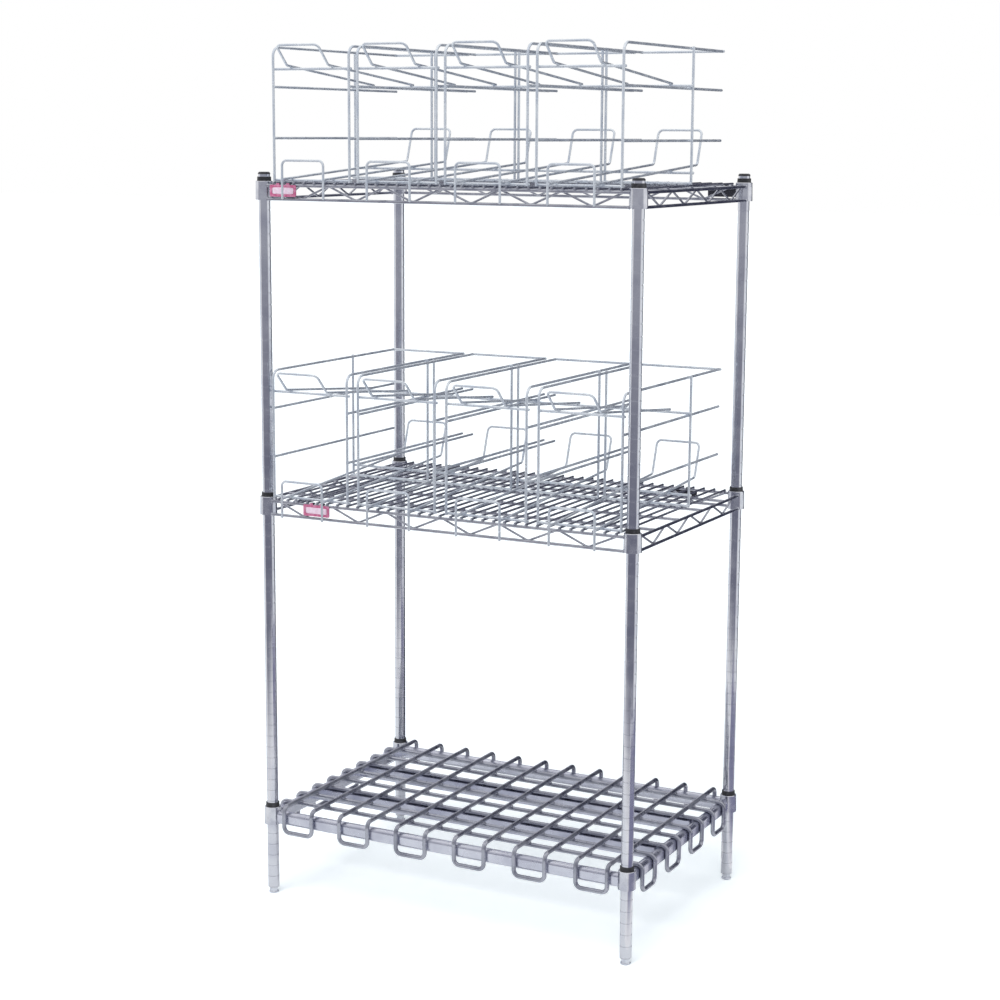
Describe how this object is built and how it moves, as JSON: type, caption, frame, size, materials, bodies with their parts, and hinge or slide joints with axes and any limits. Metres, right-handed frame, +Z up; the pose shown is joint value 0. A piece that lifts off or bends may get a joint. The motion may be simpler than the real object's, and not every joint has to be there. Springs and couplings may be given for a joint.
{
  "type": "can storage rack",
  "caption": "Free-standing chromed wire rack with a low loop shelf and two wire shelves that carry lift-off sloped can lanes.",
  "frame": {"origin": "on the floor, under the middle of the whole rack", "axes": "+X along the rack to the right as seen from the front, +Y to the back, +Z up"},
  "size_m": [0.9144, 0.6541, 1.8855],
  "materials": {
    "post_chrome": "bright chrome plate",
    "collar_chrome": "bright chrome plate",
    "shelf_chrome": "bright chrome plate",
    "lane_chrome": "bright chrome plate",
    "loop_chrome": "bright chrome plate",
    "rail_chrome": "bright chrome plate",
    "foot_steel": "bright zinc plate",
    "zinc": "zinc plate",
    "black_plastic": "moulded, satin",
    "tag_plastic": "plain, glossy"
  },
  "bodies": {
    "frame": {"post_front_left": "post_chrome", "post_front_right": "post_chrome", "post_back_left": "post_chrome", "post_back_right": "post_chrome", "post_caps": "black_plastic", "foot_sockets": "zinc", "bottom_sleeves": "black_plastic", "middle_sleeves": "black_plastic", "top_sleeves": "black_plastic"},
    "foot_front_left": {"foot_front_left": "foot_steel"},
    "foot_front_right": {"foot_front_right": "foot_steel"},
    "foot_back_left": {"foot_back_left": "foot_steel"},
    "foot_back_right": {"foot_back_right": "foot_steel"},
    "bottom_shelf": {"bottom_collars": "collar_chrome", "bottom_frame_rails": "rail_chrome", "bottom_channels": "rail_chrome", "bottom_cross_loops": "loop_chrome", "bottom_long_loops": "loop_chrome"},
    "middle_shelf": {"middle_collars": "collar_chrome", "middle_front_truss": "shelf_chrome", "middle_back_truss": "shelf_chrome", "middle_left_truss": "shelf_chrome", "middle_right_truss": "shelf_chrome", "middle_mat_wires": "shelf_chrome", "middle_mat_supports": "shelf_chrome", "middle_tags": "tag_plastic"},
    "top_shelf": {"top_collars": "collar_chrome", "top_front_truss": "shelf_chrome", "top_back_truss": "shelf_chrome", "top_left_truss": "shelf_chrome", "top_right_truss": "shelf_chrome", "top_mat_wires": "shelf_chrome", "top_mat_supports": "shelf_chrome", "top_tags": "tag_plastic"},
    "middle_lane_1": {"middle_lane_1_side_frames": "lane_chrome", "middle_lane_1_cross_wires": "lane_chrome", "middle_lane_1_tracks": "lane_chrome"},
    "middle_lane_2": {"middle_lane_2_side_frames": "lane_chrome", "middle_lane_2_cross_wires": "lane_chrome", "middle_lane_2_tracks": "lane_chrome"},
    "middle_lane_3": {"middle_lane_3_side_frames": "lane_chrome", "middle_lane_3_cross_wires": "lane_chrome", "middle_lane_3_tracks": "lane_chrome"},
    "middle_lane_4": {"middle_lane_4_side_frames": "lane_chrome", "middle_lane_4_cross_wires": "lane_chrome", "middle_lane_4_tracks": "lane_chrome"},
    "top_lane_1": {"top_lane_1_side_frames": "lane_chrome", "top_lane_1_cross_wires": "lane_chrome", "top_lane_1_tracks": "lane_chrome"},
    "top_lane_2": {"top_lane_2_side_frames": "lane_chrome", "top_lane_2_cross_wires": "lane_chrome", "top_lane_2_tracks": "lane_chrome"},
    "top_lane_3": {"top_lane_3_side_frames": "lane_chrome", "top_lane_3_cross_wires": "lane_chrome", "top_lane_3_tracks": "lane_chrome"},
    "top_lane_4": {"top_lane_4_side_frames": "lane_chrome", "top_lane_4_cross_wires": "lane_chrome", "top_lane_4_tracks": "lane_chrome"}
  },
  "joints": [
    {"name": "foot_front_left_screw", "type": "slide", "parent": "frame", "child": "foot_front_left", "axis": [0, 0, -1], "range_m": [0, 0.019]},
    {"name": "foot_front_right_screw", "type": "slide", "parent": "frame", "child": "foot_front_right", "axis": [0, 0, -1], "range_m": [0, 0.019]},
    {"name": "foot_back_left_screw", "type": "slide", "parent": "frame", "child": "foot_back_left", "axis": [0, 0, -1], "range_m": [0, 0.019]},
    {"name": "foot_back_right_screw", "type": "slide", "parent": "frame", "child": "foot_back_right", "axis": [0, 0, -1], "range_m": [0, 0.019]},
    {"name": "bottom_shelf_lift", "type": "slide", "parent": "frame", "child": "bottom_shelf", "axis": [0, 0, 1], "range_m": [0, 0.1016]},
    {"name": "middle_shelf_lift", "type": "slide", "parent": "frame", "child": "middle_shelf", "axis": [0, 0, 1], "range_m": [0, 0.1016]},
    {"name": "top_shelf_lift", "type": "slide", "parent": "frame", "child": "top_shelf", "axis": [0, 0, 1], "range_m": [0, 0.1016]},
    {"name": "middle_lane_1_lift", "type": "slide", "parent": "middle_shelf", "child": "middle_lane_1", "axis": [0, 0, 1], "range_m": [0, 0.15]},
    {"name": "middle_lane_2_lift", "type": "slide", "parent": "middle_shelf", "child": "middle_lane_2", "axis": [0, 0, 1], "range_m": [0, 0.15]},
    {"name": "middle_lane_3_lift", "type": "slide", "parent": "middle_shelf", "child": "middle_lane_3", "axis": [0, 0, 1], "range_m": [0, 0.15]},
    {"name": "middle_lane_4_lift", "type": "slide", "parent": "middle_shelf", "child": "middle_lane_4", "axis": [0, 0, 1], "range_m": [0, 0.15]},
    {"name": "top_lane_1_lift", "type": "slide", "parent": "top_shelf", "child": "top_lane_1", "axis": [0, 0, 1], "range_m": [0, 0.15]},
    {"name": "top_lane_2_lift", "type": "slide", "parent": "top_shelf", "child": "top_lane_2", "axis": [0, 0, 1], "range_m": [0, 0.15]},
    {"name": "top_lane_3_lift", "type": "slide", "parent": "top_shelf", "child": "top_lane_3", "axis": [0, 0, 1], "range_m": [0, 0.15]},
    {"name": "top_lane_4_lift", "type": "slide", "parent": "top_shelf", "child": "top_lane_4", "axis": [0, 0, 1], "range_m": [0, 0.15]}
  ]
}
